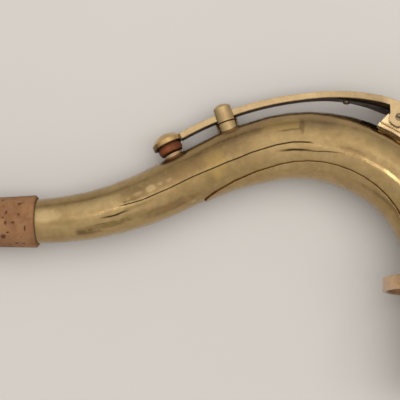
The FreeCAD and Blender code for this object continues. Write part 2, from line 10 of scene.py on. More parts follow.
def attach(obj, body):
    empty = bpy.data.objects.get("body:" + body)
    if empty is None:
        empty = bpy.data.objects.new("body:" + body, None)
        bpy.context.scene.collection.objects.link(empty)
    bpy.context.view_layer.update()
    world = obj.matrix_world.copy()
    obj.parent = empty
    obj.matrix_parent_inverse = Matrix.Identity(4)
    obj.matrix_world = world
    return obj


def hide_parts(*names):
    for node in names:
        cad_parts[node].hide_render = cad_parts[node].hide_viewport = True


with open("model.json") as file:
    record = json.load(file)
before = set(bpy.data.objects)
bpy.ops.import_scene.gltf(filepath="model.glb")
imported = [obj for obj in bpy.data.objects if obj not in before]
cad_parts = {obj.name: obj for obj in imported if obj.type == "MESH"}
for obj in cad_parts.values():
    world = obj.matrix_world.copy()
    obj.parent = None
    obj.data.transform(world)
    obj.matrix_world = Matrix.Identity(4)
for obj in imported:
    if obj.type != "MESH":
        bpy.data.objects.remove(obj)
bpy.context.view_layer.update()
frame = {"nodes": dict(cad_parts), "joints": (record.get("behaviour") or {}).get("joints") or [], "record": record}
nodes = frame["nodes"]
mm = 0.001
print("frame loaded,", len(nodes), "nodes")

# The neck's own axes, from its hinge and its tenon
mounts = {mount["name"]: mount for mount in frame["record"]["mounts"]}
hinge = frame["joints"][0]
pivot = Vector(hinge["pos_m"])
acrossNeck = -Vector(hinge["axis"]).normalized()    # out of the bend's plane, towards the camera
upNeck = -Vector(mounts["tenon"]["axis"]).normalized()
alongNeck = upNeck.cross(acrossNeck)

# Centre line of the tube from its tip, in millimetres and degrees
neckLine = {
    "tilt": 1.4,
    # a straight run is (length, 0) and a bend is (radius, turn)
    "runs": [(55.0, 0), (99.0, 25.3), (12.8, 0), (92.0, -15.5), (46.2, -61.0), (47.0, -40.2), (34.4, 0)],
    "meanRadius": 10.0,
    "pivotPlace": 169.3,
    "pivotHeight": 15.37,
    "pipPlace": 105.5,
}
runLengths = [size * math.radians(abs(turn)) if turn else size for size, turn in neckLine["runs"]]
runEnds = np.cumsum([0] + runLengths)


def walkNeck(distance):
    x, y, left = 0.0, 0.0, distance
    heading = math.radians(neckLine["tilt"])
    for length, (size, turn) in zip(runLengths, neckLine["runs"]):
        last = length == runLengths[-1]
        step = left if last else min(left, length)
        bend = math.radians(turn) * step / length
        chord = step * math.sin(bend / 2) / (bend / 2) if bend else step
        x += chord * math.cos(heading + bend / 2)
        y += chord * math.sin(heading + bend / 2)
        heading += bend
        left -= step
        if left <= 0:
            break
    return x, y, heading


pivotX, pivotY, pivotHeading = walkNeck(neckLine["pivotPlace"])
pivotX -= neckLine["pivotHeight"] * math.sin(pivotHeading)
pivotY += neckLine["pivotHeight"] * math.cos(pivotHeading)
tipPoint = pivot - (alongNeck * pivotX + upNeck * pivotY) * mm
lineSteps = np.arange(0, runEnds[-1] + 1)
lineX, lineY, lineHeading = np.array([walkNeck(step) for step in lineSteps]).T


def centrePoint(distance):
    x, y, heading = walkNeck(distance)
    outward = upNeck * math.cos(heading) - alongNeck * math.sin(heading)
    return tipPoint + (alongNeck * x + upNeck * y) * mm, outward


# Distance along the tube in metres and turn round it, zero towards the camera, for many points
def tubePlaces(points):
    offset = np.array(points) - np.array(tipPoint)
    x, y, z = (offset @ np.array(axis) / mm for axis in (alongNeck, upNeck, acrossNeck))
    gaps = (x[:, None] - lineX) ** 2 + (y[:, None] - lineY) ** 2
    along = lineSteps[gaps.argmin(1)]
    for step in range(3):    # each step brings the place nearer
        heading = np.interp(along, lineSteps, lineHeading)
        dx = x - np.interp(along, lineSteps, lineX)
        dy = y - np.interp(along, lineSteps, lineY)
        along = along + dx * np.cos(heading) + dy * np.sin(heading)
    outward = dy * np.cos(heading) - dx * np.sin(heading)
    return along * mm, np.arctan2(outward, z) / (2 * math.pi)


# The camera looks straight down on the table, as in the photograph
cameraView = {
    "height": 430.0,
    "leftOfPivot": 63.75,
    "belowPivot": 25.21,
    "focalPixels": 1293.2,
    "pictureSide": 400,
    "sensor": 36.0,
}
cameraPoint = Vector((
    pivot.x - cameraView["leftOfPivot"] * mm, pivot.y - cameraView["belowPivot"] * mm, cameraView["height"] * mm
))


def sightLine(pixelX, pixelY):
    half = cameraView["pictureSide"] / 2
    return Vector((pixelX - half, half - pixelY, -cameraView["focalPixels"])).normalized()


# Shading of the CAD nodes: smooth over the faces of a curve, sharp at its corners
def smoothNode(node, sharpAngle=32):
    mesh = node.data
    limit = math.cos(math.radians(sharpAngle))
    normals = [polygon.normal.copy() for polygon in mesh.polygons]
    spots = [tuple(round(value, 7) for value in vertex.co) for vertex in mesh.vertices]
    around = {}
    for polygon in mesh.polygons:
        for vertex in polygon.vertices:
            around.setdefault(spots[vertex], []).append(polygon.index)
    corners = []
    for polygon in mesh.polygons:
        own = normals[polygon.index]
        for vertex in polygon.vertices:
            total = Vector((0, 0, 0))
            for other in around[spots[vertex]]:
                if own.dot(normals[other]) > limit:
                    total += normals[other] * mesh.polygons[other].area
            corners.append(total.normalized() if total.length else own)
    mesh.polygons.foreach_set("use_smooth", [True] * len(mesh.polygons))
    mesh.normals_split_custom_set(corners)


# The tube's own places as a UV layer, unbroken within each face
def mapOnTube(node):
    mesh = node.data
    along, turn = tubePlaces([vertex.co for vertex in mesh.vertices])
    layer = mesh.uv_layers.new(name="tubePlace")
    for polygon in mesh.polygons:
        first = turn[polygon.vertices[0]]
        for loop, vertex in zip(polygon.loop_indices, polygon.vertices):
            step = turn[vertex] - first
            layer.data[loop].uv = (along[vertex], first + step - round(step))


for node in nodes.values():
    smoothNode(node)
roundNodes = ["neck_tube", "bend_brace", "mouthpiece_cork", "tip_ring", "tenon_sleeve", "tenon_collar"]
for name in roundNodes:
    mapOnTube(nodes[name])
print("nodes shaded and mapped")


# Small helpers for node trees
def feed(tree, socket, value):
    if isinstance(value, bpy.types.NodeSocket):
        tree.links.new(value, socket)
    else:
        socket.default_value = value


def addNode(tree, kind, sockets=None, **settings):
    node = tree.nodes.new("ShaderNode" + kind)
    for name, value in settings.items():
        setattr(node, name, value)
    for name, value in (sockets or {}).items():
        feed(tree, node.inputs[name], value)
    return node


def calc(tree, operation, *values, clamp=False):
    node = addNode(tree, "Math", operation=operation, use_clamp=clamp)
    for socket, value in zip(node.inputs, values):
        feed(tree, socket, value)
    return node.outputs[0]


def stepUp(tree, value, low, high, least=0.0, most=1.0):
    sockets = {"Value": value, "From Min": low, "From Max": high, "To Min": least, "To Max": most}
    return addNode(tree, "MapRange", sockets, interpolation_type="SMOOTHSTEP").outputs["Result"]


def mixColour(tree, share, first, second, blend="MIX"):
    node = addNode(tree, "Mix", data_type="RGBA", blend_type=blend)
    for index, value in ((0, share), (6, first), (7, second)):    # the Mix node's sockets for colours
        feed(tree, node.inputs[index], value)
    return node.outputs[2]


def noiseOn(tree, vector, scale, detail=3.0, rough=0.55, twist=0.0):
    sockets = {"Vector": vector, "Scale": scale, "Detail": detail, "Roughness": rough, "Distortion": twist}
    return addNode(tree, "TexNoise", sockets).outputs["Fac"]


noiseRange = (0.3, 0.7)    # nearly all values of a noise lie between these


def stretched(tree, vector, x, y, z):
    node = addNode(tree, "VectorMath", {"Vector": vector}, operation="MULTIPLY")
    node.inputs[1].default_value = (x, y, z)
    return node.outputs[0]


def tint(red, green, blue):    # a colour as it looks on screen, 0 to 255
    linear = [((c / 255 + 0.055) / 1.055) ** 2.4 if c > 10 else c / 255 / 12.92 for c in (red, green, blue)]
    return (*linear, 1.0)


def newGroup(name, inputs, outputs):
    tree = bpy.data.node_groups.new(name, "ShaderNodeTree")
    for label, kind, value in inputs:
        socket = tree.interface.new_socket(label, in_out="INPUT", socket_type="NodeSocket" + kind)
        if value is not None:
            socket.default_value = value
    for label, kind in outputs:
        tree.interface.new_socket(label, in_out="OUTPUT", socket_type="NodeSocket" + kind)
    return tree, tree.nodes.new("NodeGroupInput").outputs, tree.nodes.new("NodeGroupOutput").inputs


def useGroup(tree, group, **values):
    node = tree.nodes.new("ShaderNodeGroup")
    node.node_tree = group
    for name, value in values.items():
        feed(tree, node.inputs[name], value)
    return node.outputs


# Cloudy patches of old lacquer and tarnish
def makeTarnish():
    tree, given, out = newGroup(
        "tarnish",
        [("Vector", "Vector", None), ("Scale", "Float", 60.0), ("Amount", "Float", 0.5), ("Softness", "Float", 0.12)],
        [("Mask", "Float")],
    )
    cloud = noiseOn(tree, given["Vector"], given["Scale"], 5.0, 0.62, 0.6)
    edge = calc(tree, "SUBTRACT", 1.0, given["Amount"])
    low = calc(tree, "SUBTRACT", edge, given["Softness"])
    high = calc(tree, "ADD", edge, given["Softness"])
    tree.links.new(stepUp(tree, cloud, low, high), out["Mask"])
    return tree


# Corners rubbed bright: where a rounded normal leaves the true one
def makeEdgeWear():
    tree, given, out = newGroup(
        "edgeWear",
        [("Vector", "Vector", None), ("Radius", "Float", 0.0003), ("Gain", "Float", 4.0)],
        [("Mask", "Float"), ("Normal", "Vector")],
    )
    bevel = addNode(tree, "Bevel", {"Radius": given["Radius"]}, samples=4).outputs[0]
    plain = addNode(tree, "NewGeometry").outputs["Normal"]
    match = addNode(tree, "VectorMath", operation="DOT_PRODUCT")
    tree.links.new(bevel, match.inputs[0])
    tree.links.new(plain, match.inputs[1])
    turned = calc(tree, "MULTIPLY", calc(tree, "SUBTRACT", 1.0, match.outputs["Value"]), given["Gain"])
    rub = stepUp(tree, noiseOn(tree, given["Vector"], 420.0, 3.0), 0.3, 0.6, 0.35, 1.0)
    tree.links.new(calc(tree, "MULTIPLY", turned, rub, clamp=True), out["Mask"])
    tree.links.new(bevel, out["Normal"])
    return tree


# Dirt that gathers where pieces meet, with painted shade in the same corners, from ambient occlusion
def makeCornerDirtAndShade():
    tree, given, out = newGroup(
        "cornerDirtAndShade",
        [("Vector", "Vector", None), ("Reach", "Float", 0.0012), ("Amount", "Float", 0.7)],
        [("Mask", "Float")],
    )
    bare = addNode(tree, "AmbientOcclusion", {"Distance": given["Reach"]}, samples=6).outputs["AO"]
    shut = calc(tree, "SUBTRACT", 1.0, bare)
    broken = stepUp(tree, noiseOn(tree, given["Vector"], 700.0, 3.0), 0.25, 0.65, 0.5, 1.0)
    dirtAndShade = calc(tree, "MULTIPLY", stepUp(tree, shut, 0.15, 0.75), broken)
    tree.links.new(calc(tree, "MULTIPLY", dirtAndShade, given["Amount"]), out["Mask"])
    return tree


# Fine hairline scratches: thin contours of a stretched cloud
def makeHairlines():
    tree, given, out = newGroup(
        "hairlines",
        [("Vector", "Vector", None), ("Scale", "Float", 300.0), ("Width", "Float", 0.012), ("Amount", "Float", 0.5)],
        [("Mask", "Float")],
    )
    cloud = noiseOn(tree, given["Vector"], given["Scale"], 2.0, 0.5, 0.4)
    far = calc(tree, "ABSOLUTE", calc(tree, "SUBTRACT", cloud, 0.5))
    line = calc(tree, "SUBTRACT", 1.0, stepUp(tree, far, 0.0, given["Width"]))
    where = stepUp(tree, noiseOn(tree, given["Vector"], 40.0, 2.0), 0.45, 0.62)
    kept = calc(tree, "MULTIPLY", calc(tree, "MULTIPLY", line, where), given["Amount"])
    tree.links.new(kept, out["Mask"])
    return tree


# One soft-edged patch on the tube, by its place along and round it, both in metres
def makePatch():
    names = ["Along", "Around", "Middle Along", "Middle Around", "Half Length", "Half Width", "Softness", "Ragged"]
    tree, given, out = newGroup("patch", [(name, "Float", 0.0) for name in names], [("Mask", "Float")])
    shares = []
    for place, half in (("Along", "Half Length"), ("Around", "Half Width")):
        gap = calc(tree, "SUBTRACT", given[place], given["Middle " + place])
        shares.append(calc(tree, "DIVIDE", gap, given[half]))
    squares = [calc(tree, "POWER", calc(tree, "ABSOLUTE", share), 2.4) for share in shares]
    far = calc(tree, "ADD", squares[0], squares[1])
    far = calc(tree, "ADD", far, given["Ragged"])
    low = calc(tree, "SUBTRACT", 1.0, given["Softness"])
    high = calc(tree, "ADD", 1.0, given["Softness"])
    tree.links.new(calc(tree, "SUBTRACT", 1.0, stepUp(tree, far, low, high)), out["Mask"])
    return tree


# A thin dark line that follows the tube, fading at both ends
def makeTubeLine():
    names = ["Along", "Around", "Line", "Half Width", "Start", "End", "Fade"]
    tree, given, out = newGroup("tubeLine", [(name, "Float", 0.0) for name in names], [("Mask", "Float")])
    gap = calc(tree, "ABSOLUTE", calc(tree, "SUBTRACT", given["Around"], given["Line"]))
    wide = calc(tree, "SUBTRACT", 1.0, stepUp(tree, gap, 0.0, given["Half Width"]))
    begun = stepUp(tree, given["Along"], given["Start"], calc(tree, "ADD", given["Start"], given["Fade"]))
    late = stepUp(tree, given["Along"], calc(tree, "SUBTRACT", given["End"], given["Fade"]), given["End"])
    there = calc(tree, "MULTIPLY", begun, calc(tree, "SUBTRACT", 1.0, late))
    tree.links.new(calc(tree, "MULTIPLY", wide, there), out["Mask"])
    return tree


# Pores of sanded cork: some cells of a bent pattern, each with its own size
def makePores():
    tree, given, out = newGroup(
        "pores",
        [("Vector", "Vector", None), ("Scale", "Float", 320.0), ("Size", "Float", 0.3), ("Share", "Float", 0.4)],
        [("Mask", "Float")],
    )
    bent = addNode(tree, "VectorMath", operation="ADD")
    wobble = addNode(tree, "TexNoise", {"Vector": given["Vector"], "Scale": 700.0, "Detail": 2.0}).outputs["Color"]
    feed(tree, bent.inputs[0], given["Vector"])
    feed(tree, bent.inputs[1], stretched(tree, wobble, 0.0011, 0.0011, 0.0011))
    cells = addNode(tree, "TexVoronoi", {"Vector": bent.outputs[0], "Scale": given["Scale"], "Randomness": 1.0})
    tone = addNode(tree, "SeparateColor", {"Color": cells.outputs["Color"]}).outputs[0]
    chosen = calc(tree, "GREATER_THAN", given["Share"], tone)
    size = calc(tree, "MULTIPLY", given["Size"], calc(tree, "ADD", 0.55, calc(tree, "MULTIPLY", tone, 1.6)))
    near = stepUp(tree, cells.outputs["Distance"], calc(tree, "MULTIPLY", size, 0.55), size, 1.0, 0.0)
    tree.links.new(calc(tree, "MULTIPLY", near, chosen), out["Mask"])
    return tree


# Painted shade on the faces that look against the given way, with a soft turn at their edges
def makeUnderside():
    tree, given, out = newGroup(
        "underside",
        [
            ("Away", "Vector", tuple(upNeck)), ("Radius", "Float", 0.0006), ("Low", "Float", 0.12),
            ("High", "Float", 0.55),
        ],
        [("Mask", "Float")],
    )
    bevel = addNode(tree, "Bevel", {"Radius": given["Radius"]}, samples=4).outputs[0]
    match = addNode(tree, "VectorMath", operation="DOT_PRODUCT")
    tree.links.new(bevel, match.inputs[0])
    tree.links.new(given["Away"], match.inputs[1])
    facing = calc(tree, "MULTIPLY", match.outputs["Value"], -1.0)
    tree.links.new(stepUp(tree, facing, given["Low"], given["High"]), out["Mask"])
    return tree


tarnish, edgeWear, cornerDirtAndShade, hairlines = makeTarnish(), makeEdgeWear(), makeCornerDirtAndShade(), makeHairlines()
patch, tubeLine, pores, underside = makePatch(), makeTubeLine(), makePores(), makeUnderside()
print("shared effects built")


def newMaterial(name, **constants):
    material = bpy.data.materials.new(name)
    material.use_nodes = True
    shader = material.node_tree.nodes["Principled BSDF"]
    for label, value in constants.items():
        shader.inputs[label.replace("_", " ")].default_value = value
    return material, material.node_tree, shader.inputs


def objectPlace(tree):
    return addNode(tree, "TexCoord").outputs["Object"]


# Old lacquered brass. Each piece has its own colours and wear, with painted shade in its corners and, on some pieces,
# on the faces that look against a given way.
def makeBrass(name, look, marksOn=None):
    material, tree, shader = newMaterial(
        name, Coat_Roughness=look["coatRoughness"], Coat_IOR=1.5, Specular_IOR_Level=0.5,
    )
    vector = objectPlace(tree)
    cloud = noiseOn(tree, vector, look["cloudScale"], 4.0, 0.6, 0.3)
    colour = mixColour(tree, stepUp(tree, cloud, *look["cloudEdges"]), tint(*look["light"]), tint(*look["warm"]))
    olive = useGroup(tree, tarnish, Vector=vector, Scale=look["oliveScale"], Amount=look["oliveAmount"])["Mask"]
    colour = mixColour(tree, calc(tree, "MULTIPLY", olive, look["oliveShare"]), colour, tint(*look["olive"]))
    brown = useGroup(
        tree, tarnish, Vector=vector, Scale=look["brownScale"], Amount=look["brownAmount"],
        Softness=look["brownSoftness"],
    )["Mask"]
    colour = mixColour(tree, calc(tree, "MULTIPLY", brown, look["brownShare"]), colour, tint(*look["brown"]))
    speckle = noiseOn(tree, vector, look["mottleScale"], 2.5, 0.6, 0.4)
    shade = stepUp(tree, speckle, *look["mottleEdges"], 1.0 - look["mottle"], 1.0 + look["mottle"] / 2)
    grey = addNode(tree, "CombineColor", dict.fromkeys(("Red", "Green", "Blue"), shade)).outputs[0]
    colour = mixColour(tree, 1.0, colour, grey, "MULTIPLY")
    fog = noiseOn(tree, vector, look["fogScale"], 2.5, 0.5)
    least, most = (look["roughness"] + change for change in look["fogRoughness"])
    rough = stepUp(tree, fog, *noiseRange, least, most)
    rough = calc(tree, "ADD", rough, calc(tree, "MULTIPLY", brown, look["brownRoughness"]))
    bright = calc(tree, "SUBTRACT", 1.0, calc(tree, "MULTIPLY", brown, look["brownDullness"]))
    metal = calc(tree, "MULTIPLY", bright, look["metal"])
    dull = 0.0
    if marksOn:
        colour, rough, dull = marksOn(tree, vector, colour, rough)
    wear = useGroup(tree, edgeWear, Vector=vector, Radius=look["edgeRadius"], Gain=look["edgeGain"])
    colour = mixColour(tree, calc(tree, "MULTIPLY", wear["Mask"], look["rubShare"]), colour, tint(*look["rubbed"]))
    # dirt and painted shade where pieces meet
    dirtAndShade = useGroup(tree, cornerDirtAndShade, Vector=vector, Reach=look["dirtShadeReach"], Amount=look["dirtShadeAmount"])["Mask"]
    # painted shade on the faces that look against underAway, joined with the corners' dirt and shade
    if look["underDark"]:
        low, high = look["underRange"]
        under = useGroup(
            tree, underside, Away=look["underAway"], Radius=look["underRadius"], Low=low, High=high
        )["Mask"]
        dirtAndShade = calc(tree, "MAXIMUM", dirtAndShade, calc(tree, "MULTIPLY", under, look["underDark"]))
    colour = mixColour(tree, dirtAndShade, colour, tint(*look["dirtAndShade"]))
    rough = calc(tree, "ADD", rough, calc(tree, "MULTIPLY", dirtAndShade, look["dirtRoughness"]), clamp=True)
    metal = calc(tree, "SUBTRACT", metal, calc(tree, "MULTIPLY", dirtAndShade, look["dirtDullness"]), clamp=True)
    lines = useGroup(
        tree, hairlines, Vector=stretched(tree, vector, *look["scratchStretch"]), Scale=look["scratchScale"]
    )["Mask"]
    waves = calc(tree, "MULTIPLY", fog, look["fogHeight"])
    height = calc(tree, "SUBTRACT", waves, calc(tree, "MULTIPLY", lines, look["scratchHeight"]))
    bumpSockets = {
        "Height": height, "Normal": wear["Normal"], "Strength": look["bump"], "Distance": look["bumpDepth"],
    }
    bump = addNode(tree, "Bump", bumpSockets)
    feed(tree, shader["Base Color"], colour)
    feed(tree, shader["Roughness"], rough)
    feed(tree, shader["Metallic"], metal)
    bare = calc(tree, "SUBTRACT", 1.0, calc(tree, "MAXIMUM", dirtAndShade, dull))
    feed(tree, shader["Coat Weight"], calc(tree, "MULTIPLY", bare, look["coat"]))
    feed(tree, shader["Normal"], bump.outputs["Normal"])
    return material


brassLook = {
    "light": (178, 150, 102),
    "warm": (164, 135, 88),
    "olive": (150, 127, 76),
    "brown": (132, 102, 66),
    "rubbed": (206, 180, 136),
    "dirtAndShade": (40, 25, 12),
    "cloudScale": 45.0,
    "cloudEdges": (0.35, 0.65),
    "oliveScale": 55.0,
    "oliveAmount": 0.42,
    "oliveShare": 0.32,
    "brownScale": 120.0,
    "brownAmount": 0.36,
    "brownShare": 0.3,
    "brownSoftness": 0.1,
    "brownRoughness": 0.08,
    "brownDullness": 0.15,
    "roughness": 0.24,
    "fogScale": 260.0,
    "fogRoughness": (-0.04, 0.05),
    "coat": 0.3,
    "coatRoughness": 0.15,
    "edgeRadius": 0.00022,
    "edgeGain": 3.0,
    "rubShare": 0.6,
    "dirtShadeReach": 0.0009,
    "dirtShadeAmount": 0.92,
    "dirtRoughness": 0.3,
    "dirtDullness": 0.1,
    # painted shade, with some grime, on the faces that look against underAway
    "underDark": 0.0,
    "underAway": tuple(upNeck),
    "underRange": (0.12, 0.55),
    "underRadius": 0.0006,
    "scratchScale": 300.0,
    "scratchStretch": (0.25, 1.0, 1.0),
    "mottle": 0.1,
    "mottleScale": 420.0,
    "mottleEdges": (0.32, 0.68),
    "metal": 1.0,
    "fogHeight": 0.6,
    "scratchHeight": 0.5,
    "bump": 0.1,
    "bumpDepth": 0.00008,
}
# the brace and rings: edges rubbed brighter, which also paints a highlight on the brace's lit edge, and a seam
# darkened by dirt and painted shade
braceLook = {**brassLook, "dirtShadeReach": 0.0008, "dirtShadeAmount": 0.95, "edgeGain": 8.0, "rubShare": 0.95}
keyLook = {
    **brassLook,
    "light": (196, 168, 124),
    "warm": (190, 161, 116),
    "oliveShare": 0.2,
    "brownShare": 0.2,
    "brown": (160, 128, 86),
    "dirtAndShade": (78, 44, 16),
    "oliveAmount": 0.3,
    "brownAmount": 0.26,
    "brownScale": 260.0,
    # the lever's underside painted dark as its shade, with some grime
    "underDark": 0.96,
    "roughness": 0.22,
}
# the cup's faces that look against upNeck painted dark as their shade
cupLook = {**keyLook, "light": (212, 178, 126), "warm": (198, 164, 110), "roughness": 0.18, "underDark": 0.9}
# paler than the key's brass: painted light on the saddle block's lit front
saddleLook = {
    **keyLook,
    "light": (242, 212, 162),
    "warm": (230, 198, 146),
    "underDark": 0.0,
    "dirtAndShade": (58, 42, 26),
    "dirtShadeReach": 0.0004,
    "dirtShadeAmount": 0.4,
    "metal": 0.6,
}
loopLook = {
    **keyLook,
    "light": (190, 156, 118),
    "warm": (178, 142, 104),
    "underDark": 0.0,
    "dirtShadeAmount": 0.25,
    "metal": 0.5,
}
pipLook = {**saddleLook, "light": (222, 198, 164), "warm": (206, 180, 142), "dirtShadeAmount": 0.1, "metal": 0.3}
postLook = {
    **brassLook,
    "light": (196, 168, 122),
    "warm": (182, 152, 106),
    "brown": (150, 120, 80),
    "dirtAndShade": (104, 76, 42),
    "dirtShadeAmount": 0.6,
    "oliveAmount": 0.25,
    "brownAmount": 0.3,
    "brownScale": 320.0,
    "roughness": 0.2,
    # painted shade and dark reflection on its side towards the cork
    "underAway": (1.0, 0.0, 0.15),
    "underRange": (0.72, 0.96),
    "underRadius": 0.0003,
    "underDark": 0.7,
}
plinthLook = {
    **brassLook,
    "light": (176, 142, 108),
    "warm": (160, 126, 92),
    "olive": (140, 114, 76),
    "brown": (116, 86, 54),
    "dirtAndShade": (52, 30, 8),
    "dirtShadeReach": 0.0007,
    "roughness": 0.35,
    "coat": 0.1,
    "metal": 0.4,
    "rubbed": (140, 118, 84),
    "rubShare": 0.5,
    "edgeGain": 5.0,
}
# the saddle's base painted nearly black: painted shade under the saddle block
baseLook = {
    **saddleLook,
    "dirtAndShade": (36, 24, 14),
    "dirtShadeReach": 0.0009,
    "dirtShadeAmount": 0.9,
    "underDark": 0.97,
    "underRange": (0.0, 0.25),
}


# Marks on the tube, by the pixel of the photograph at which each lies: tarnish and wear, with painted highlights,
# shade and reflections among them
tubeMarks = {
    # how much of the tube the curves cover, in millimetres
    "curveLength": 240.0,
    "millimetresPerPixel": 0.3155,
    "raggedScale": 520.0,
    # kind, pixel x and y, half length and half width in pixels, strength, softness
    "patches": [
        # pale patches: worn lacquer, and in the first two a painted highlight
        ("paleWearAndHighlight", 46, 216, 13, 9, 0.42, 0.99),
        ("paleWearAndHighlight", 92, 205, 34, 7, 0.2, 0.95),
        ("brown", 180, 172, 62, 9, 0.34, 0.95),
        ("brown", 134, 193, 16, 8, 0.26, 0.95),
        ("brown", 250, 128, 40, 6, 0.25, 0.9),
        ("paleWearAndHighlight", 137.7, 193.6, 5, 1.8, 0.3, 0.9),
        ("paleWearAndHighlight", 150.5, 188.6, 5.5, 3.8, 0.5, 0.7),
        ("paleWearAndHighlight", 159.5, 184, 2.4, 1.8, 0.3, 0.9),
        ("paleWearAndHighlight", 169, 180, 3, 2.2, 0.25, 0.9),
        ("paleWearAndHighlight", 194, 201, 3, 2.2, 0.4, 0.8),
        ("olive", 137, 206, 14, 1.9, 0.45, 0.7),
        ("gold", 216, 163, 10, 17, 0.34, 0.75),
        ("gold", 218, 175, 3.4, 7, 0.42, 0.95),
        ("grey", 240, 150, 14, 14, 0.22, 0.8),
        ("gold", 281, 125, 19, 7, 0.5, 0.6),
        ("olive", 113, 224, 16, 4.4, 0.75, 0.95),
        ("olive", 86, 231, 10, 6, 0.62, 0.95),
        ("dark", 112, 216, 10, 1.6, 0.35, 0.95),
        ("dark", 97, 225, 8, 1.2, 0.4, 0.95),
        ("dark", 82, 232, 4, 2.4, 0.45, 0.95),
        ("dark", 90, 230, 2.4, 1.6, 0.4, 0.95),
        ("olive", 138, 215, 17, 5, 0.36, 0.9),
        ("olive", 210, 181, 5, 7, 0.26, 0.95),
        ("olive", 196, 195, 6, 3, 0.5, 0.9),
        ("olive", 62, 222, 14, 5, 0.3, 0.95),
        ("brown", 126, 202, 3, 1.4, 0.5, 0.8),
        ("brown", 135, 199, 7, 1.8, 0.4, 0.8),
        ("brown", 170, 207, 24, 6, 0.42, 0.9),
        ("brown", 302, 126, 2.4, 8, 0.55, 0.8),
        ("brown", 289, 129.6, 11, 1.1, 0.5, 0.8),
        ("grey", 319, 122, 18, 9, 0.4, 0.6),
        # a painted shade that dims the tail of the strip lamp's highlight
        ("brown", 352, 151, 15, 2.8, 0.42, 0.95),
        ("brown", 90, 233, 12, 3, 0.4, 0.95),
        ("brown", 230, 140, 34, 4, 0.28, 0.95),
        ("rust", 305, 172.5, 18, 2, 0.32, 0.9),
        ("rust", 333, 178, 5, 1.4, 0.35, 0.9),
        ("rust", 168, 207, 4.5, 2.2, 0.32, 0.9),
    ],
    "colours": {
        "paleWearAndHighlight": (212, 186, 136),
        "gold": (184, 152, 88),
        "olive": (124, 102, 54),
        "brown": (96, 66, 36),
        "dark": (66, 44, 20),
        "grey": (132, 110, 80),
        "rust": (162, 110, 66),
        "line": (36, 21, 8),
        "crest": (24, 14, 8),
    },
    # thin dark lines, partly marks in the lacquer and partly painted reflection: strength, half width in millimetres,
    # fade in millimetres, pixels along it
    "lines": [
        (1.0, 0.5, 4.0, [(104, 217.7), (113, 216), (121.4, 212.7), (127, 211)]),
        (1.0, 0.42, 3.0, [
            (121.4, 205.8), (133, 202.8), (146, 198.4), (160, 192.4), (175, 185.4), (190, 178), (206, 171),
            (220, 165), (235, 159), (250, 153), (265, 148), (280, 144), (290, 142.3), (300, 141.7), (312, 142.6),
        ]),
        (1.0, 0.62, 6.0, [(282, 150.4), (290, 149.7), (297, 149.5), (309, 150)]),
        (0.85, 0.3, 6.0, [(301, 150), (315, 151), (330, 151.6), (338, 152.4)]),
    ],
    # dark band on the outer crest, under the key, tarnish with the key's painted shade and reflection: distance along
    # the tube in millimetres, half width in turns
    "crest": [
        (98, 0.0), (101, 0.05), (112, 0.052), (130, 0.056), (150, 0.06), (160, 0.068), (169, 0.086), (182, 0.086),
        (205, 0.0),
    ],
    # in turns: the crest's place, the band's soft edge and fraying, and the half width from which it is full
    "crestTurn": 0.25,
    "crestEdge": 0.014,
    "crestRagged": 0.006,
    "crestFull": 0.045,
    "crestDark": 0.96,
    "dullRoughness": 0.3,
    # duller towards the cork, polished round the bend: from and to in millimetres, roughness added at each
    "polish": (154, 172, 0.06, -0.08),
}


def surfaceOf(name):
    mesh = nodes[name].data
    return BVHTree.FromPolygons([v.co for v in mesh.vertices], [tuple(p.vertices) for p in mesh.polygons])


def tubeHit(surface, pixel):
    spot = surface.ray_cast(cameraPoint, sightLine(*pixel))[0]
    along, turn = tubePlaces([spot])
    return float(along[0]), float(turn[0])


# Distance along the tube and turn round it, as sockets
def placeOnTube(tree):
    uvMap = addNode(tree, "UVMap", uv_map="tubePlace")
    place = addNode(tree, "SeparateXYZ", {"Vector": uvMap.outputs["UV"]})
    return place.outputs["X"], place.outputs["Y"]


# Noise about zero that frays the edge of a patch
def raggedEdge(tree, vector, scale, detail, rough):
    cloud = noiseOn(tree, vector, scale, detail, rough)
    return calc(tree, "MULTIPLY", calc(tree, "SUBTRACT", cloud, 0.5), 3.0)


# Mask of one patch, by the pixel of its middle and its half length and half width in pixels
def patchMask(tree, surface, places, girth, middle, length, width, softness):
    middleAlong, middleTurn = tubeHit(surface, middle)
    pixel = tubeMarks["millimetresPerPixel"] * mm
    values = {
        "Middle Along": middleAlong, "Middle Around": middleTurn * girth,
        "Half Length": length * pixel, "Half Width": width * pixel, "Softness": softness,
    }
    return useGroup(tree, patch, **places, **values)["Mask"]


def curveNode(tree, value, points):
    node = addNode(tree, "FloatCurve", {"Value": value})
    curve = node.mapping.curves[0]
    curve.points[0].location, curve.points[1].location = points[0], points[-1]
    for point in points[1:-1]:
        curve.points.new(*point)
    node.mapping.update()
    return node.outputs[0]


